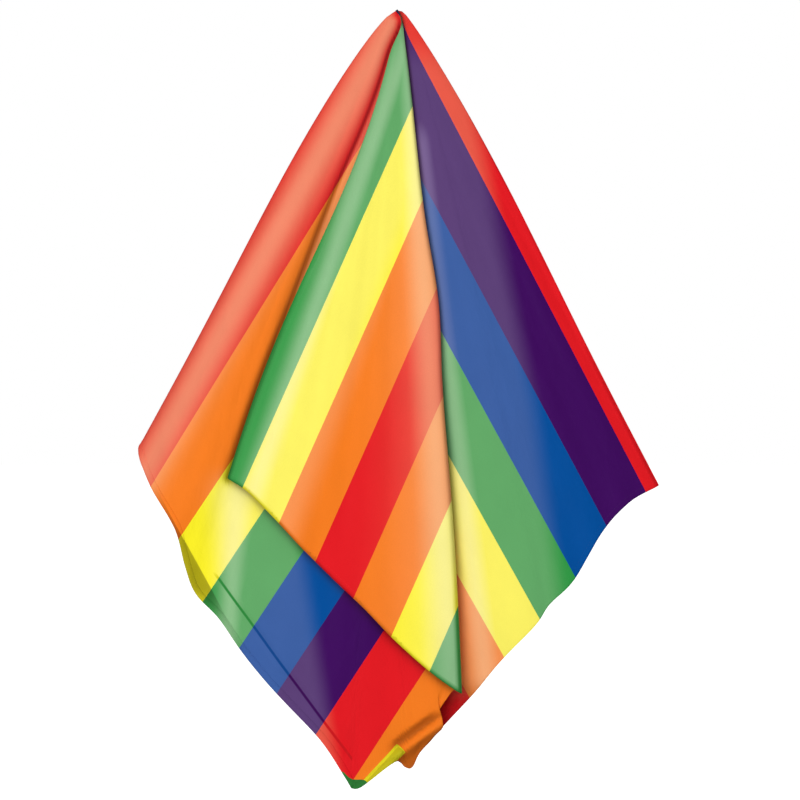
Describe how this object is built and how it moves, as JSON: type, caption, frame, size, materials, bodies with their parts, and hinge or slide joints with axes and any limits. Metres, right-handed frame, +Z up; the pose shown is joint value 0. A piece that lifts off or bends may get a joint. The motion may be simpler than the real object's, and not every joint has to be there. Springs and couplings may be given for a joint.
{
  "type": "hanging striped cloth",
  "caption": "Thin rectangular rainbow-striped cloth hung by the middle of one long edge, falling in overlapping layers with a roll, a fold and pointed lower corners.",
  "frame": {"origin": "the hanging point: the middle of the cloth's long upper edge, where it is pinched", "axes": "+Z up, -Y towards the front, +X towards the free right corner of the back layer"},
  "size_m": [0.4844, 0.0866, 0.7142],
  "materials": {
    "printed_cloth": "thin plain weave, printed in repeating red, orange, yellow, green, blue and purple stripes, with a soft satin sheen",
    "hem_cloth": "the same printed cloth, turned over twice",
    "stitching": "fine clear nylon thread, which takes on the colour of the cloth under it"
  },
  "bodies": {
    "root": {"cloth_panel": "printed_cloth", "top_hem_right": "hem_cloth", "short_hem_right": "hem_cloth", "long_hem_bottom": "hem_cloth", "short_hem_left": "hem_cloth", "top_hem_left": "hem_cloth", "top_stitching_right": "stitching", "short_stitching_right": "stitching", "long_stitching_bottom": "stitching", "short_stitching_left": "stitching", "top_stitching_left": "stitching"}
  },
  "joints": []
}
